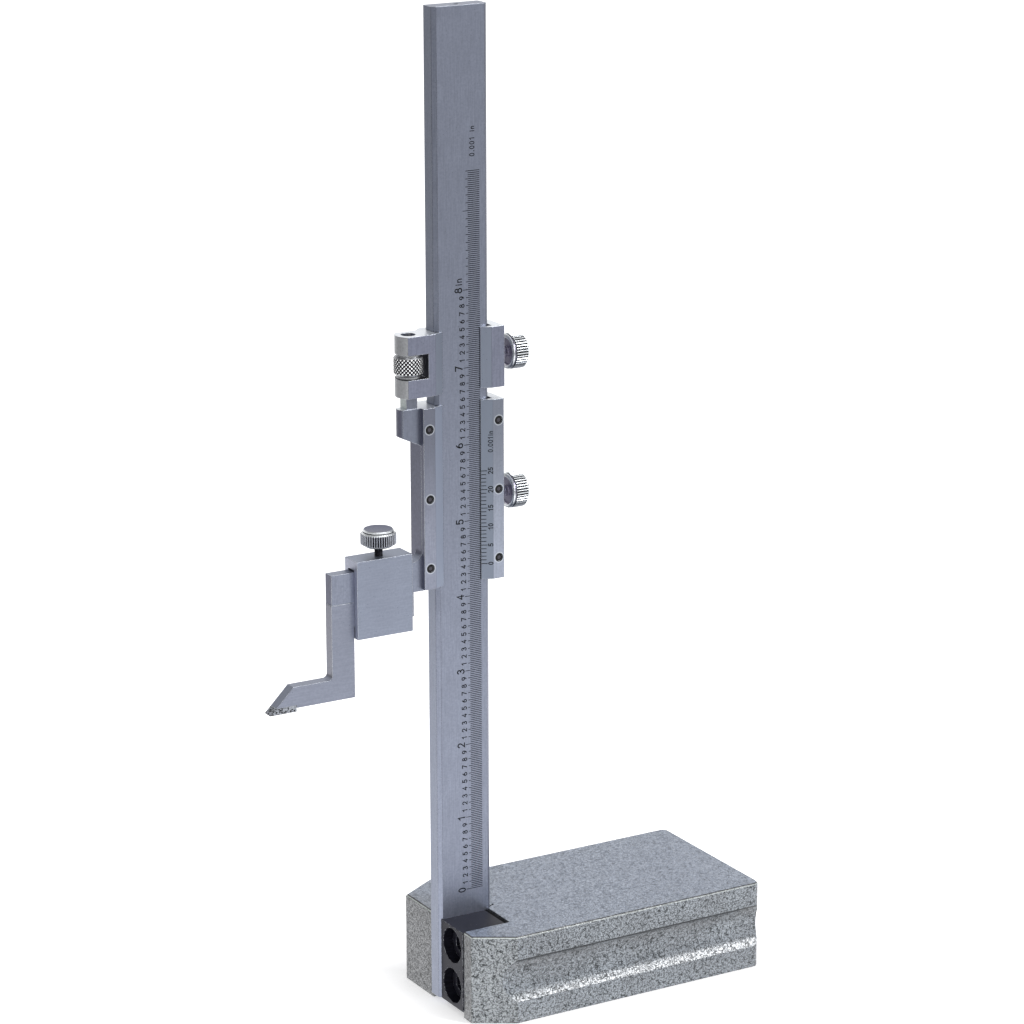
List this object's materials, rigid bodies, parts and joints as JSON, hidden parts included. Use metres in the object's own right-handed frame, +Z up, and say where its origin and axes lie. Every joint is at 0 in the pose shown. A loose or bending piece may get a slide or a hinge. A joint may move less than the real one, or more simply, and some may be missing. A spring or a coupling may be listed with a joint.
{
  "type": "vernier height gauge",
  "caption": "Vernier height gauge: inch-graduated beam on a painted cast base, sliding jaw with fine adjustment, and a clamped carbide-tipped scriber.",
  "frame": {"origin": "centre of the base's ground underside", "axes": "+Z up along the beam, +X along the base from the beam end to the free end, the beam's graduated face towards -Y"},
  "size_m": [0.171, 0.06, 0.3325],
  "materials": {
    "painted_iron": "grey-green crackle enamel",
    "ground_steel": "satin, finely ground along the beam",
    "blued_steel": "black oxide",
    "plated_steel": "satin chrome, knurled",
    "carbide": "rough sintered, brazed"
  },
  "bodies": {
    "base": {"base_casting": "painted_iron", "beam": "ground_steel", "clamp_block": "blued_steel", "clamp_block_screws": "blued_steel"},
    "carriage": {"carriage_body": "ground_steel", "carriage_gib": "ground_steel"},
    "nut": {"adjusting_nut": "plated_steel"},
    "carriage_lock": {"carriage_lock_screw": "plated_steel"},
    "slider": {"slider_frame": "ground_steel", "front_plate": "ground_steel", "vernier_plate": "ground_steel", "front_plate_screws": "blued_steel", "vernier_plate_screws": "blued_steel", "slider_gib": "ground_steel", "adjusting_stud": "ground_steel"},
    "slider_lock": {"slider_lock_screw": "plated_steel"},
    "clamp": {"scriber_clamp": "ground_steel"},
    "clamp_screw": {"scriber_clamp_screw": "plated_steel"},
    "scriber": {"scriber": "ground_steel", "scriber_tip": "carbide"}
  },
  "joints": [
    {"name": "carriage_slide", "type": "slide", "parent": "base", "child": "carriage", "axis": [0, 0, 1], "range_m": [-0.107, 0.093]},
    {"name": "nut_turn", "type": "hinge", "parent": "carriage", "child": "nut", "pos_m": [-0.0641, -0.001, 0.2195], "axis": [0, 0, 1], "range_deg": [-2160, 2880]},
    {"name": "fine_slide", "type": "slide", "parent": "carriage", "child": "slider", "axis": [0, 0, 1], "range_m": [-0.004, 0.003]},
    {"name": "carriage_lock_turn", "type": "hinge", "parent": "carriage", "child": "carriage_lock", "pos_m": [-0.0276, 0, 0.2195], "axis": [1, 0, 0], "range_deg": [0, 180]},
    {"name": "slider_lock_turn", "type": "hinge", "parent": "slider", "child": "slider_lock", "pos_m": [-0.0276, 0, 0.1731], "axis": [1, 0, 0], "range_deg": [0, 180]},
    {"name": "clamp_slide", "type": "slide", "parent": "slider", "child": "clamp", "axis": [1, 0, 0], "range_m": [-0.008, 0.0008]},
    {"name": "clamp_screw_turn", "type": "hinge", "parent": "clamp", "child": "clamp_screw", "pos_m": [-0.0758, -0.0013, 0.165], "axis": [0, 0, 1], "range_deg": [0, 180]},
    {"name": "scriber_slide", "type": "slide", "parent": "clamp", "child": "scriber", "axis": [1, 0, 0], "range_m": [-0.012, 0]}
  ],
  "couplings": [
    {"joint": "nut_turn", "follows": "fine_slide", "rad_per_m": -12566}
  ]
}
